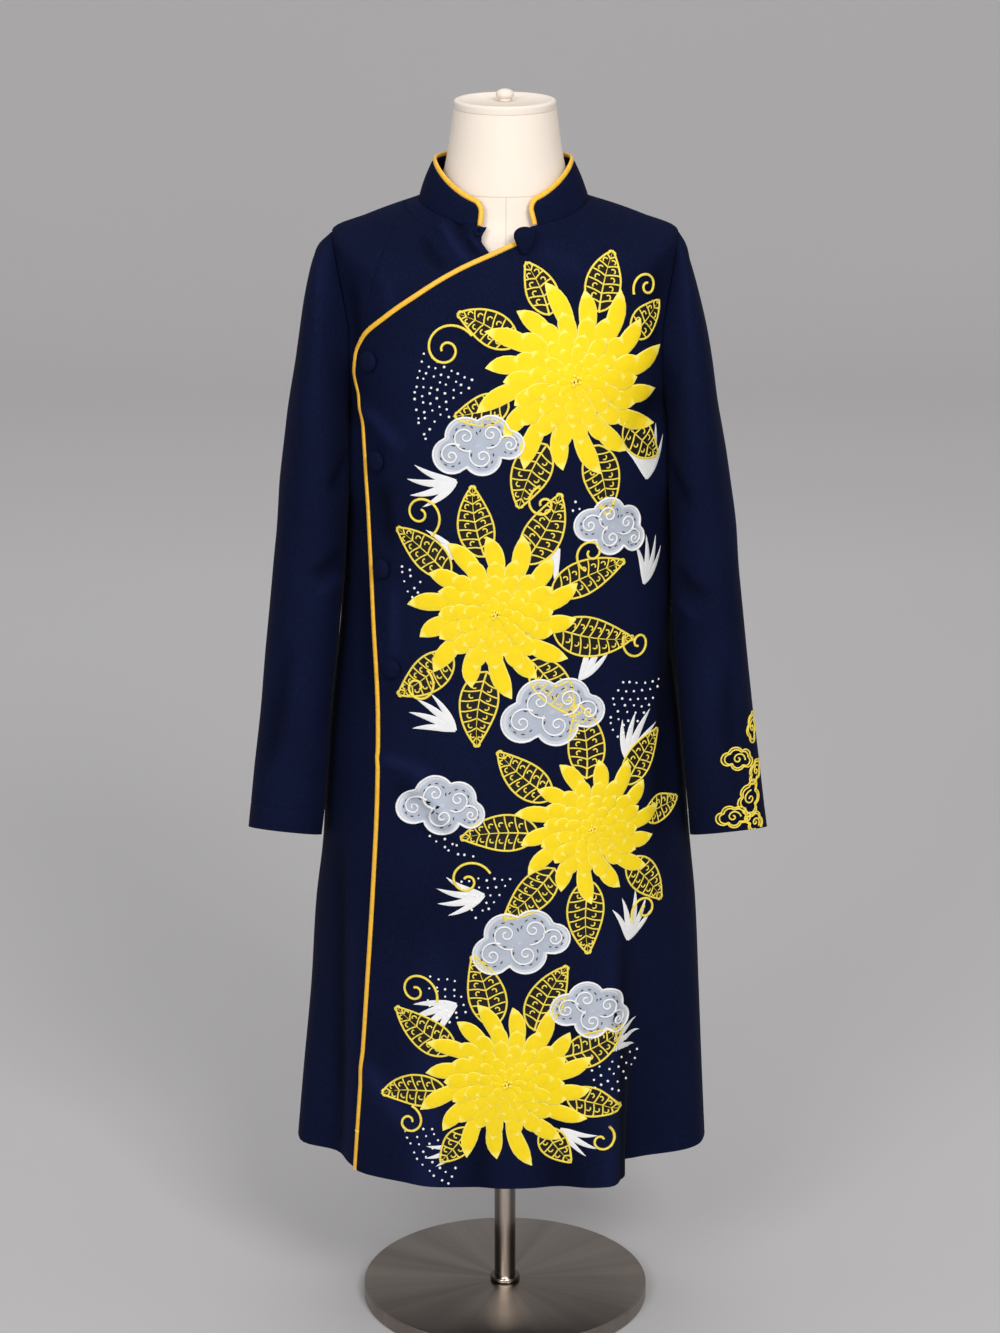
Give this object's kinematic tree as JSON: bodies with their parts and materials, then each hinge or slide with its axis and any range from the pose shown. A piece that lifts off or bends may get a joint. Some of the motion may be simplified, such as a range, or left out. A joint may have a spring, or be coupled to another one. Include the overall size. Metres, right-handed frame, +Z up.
{
  "type": "mandarin collar coat on a dress form",
  "caption": "Long navy coat with a stand collar, piped side overlap, covered buttons and raised floral appliques, worn by a limbless dress form on a steel pole and round base.",
  "frame": {"origin": "middle of the underside of the round base, on the surface it stands on", "axes": "+Z up along the pole; the front of the coat looks along -Y; the wearer's left is +X"},
  "size_m": [0.5616, 0.32, 1.369],
  "materials": {
    "navy_suiting": "matt smooth wool suiting, navy",
    "gold_satin": "satin bias binding, gold",
    "yellow_stitching": "silky embroidery thread, yellow",
    "blue_grey_stitching": "silky embroidery thread, blue grey",
    "cream_jersey": "smooth stretched cover, cream",
    "brushed_steel": "brushed steel, darkened by what it reflects"
  },
  "bodies": {
    "root": {"front_overlap": "navy_suiting", "side_front_right": "navy_suiting", "front_underlap": "navy_suiting", "back": "navy_suiting", "sleeve_left": "navy_suiting", "sleeve_right": "navy_suiting", "collar": "navy_suiting", "collar_piping": "gold_satin", "front_piping": "gold_satin", "button_1": "navy_suiting", "button_2": "navy_suiting", "button_3": "navy_suiting", "button_4": "navy_suiting", "collar_button": "navy_suiting", "collar_loop": "navy_suiting", "flower_chest": "yellow_stitching", "flower_waist": "yellow_stitching", "flower_hip": "yellow_stitching", "flower_hem": "yellow_stitching", "cloud_shoulder": "blue_grey_stitching", "cloud_side": "blue_grey_stitching", "cloud_middle": "blue_grey_stitching", "cloud_low": "blue_grey_stitching", "cloud_knee": "blue_grey_stitching", "cloud_skirt": "blue_grey_stitching", "form_torso": "cream_jersey", "neck_cap": "cream_jersey", "cap_knob": "cream_jersey", "pole": "brushed_steel", "pole_flange": "brushed_steel", "base": "brushed_steel"}
  },
  "joints": []
}
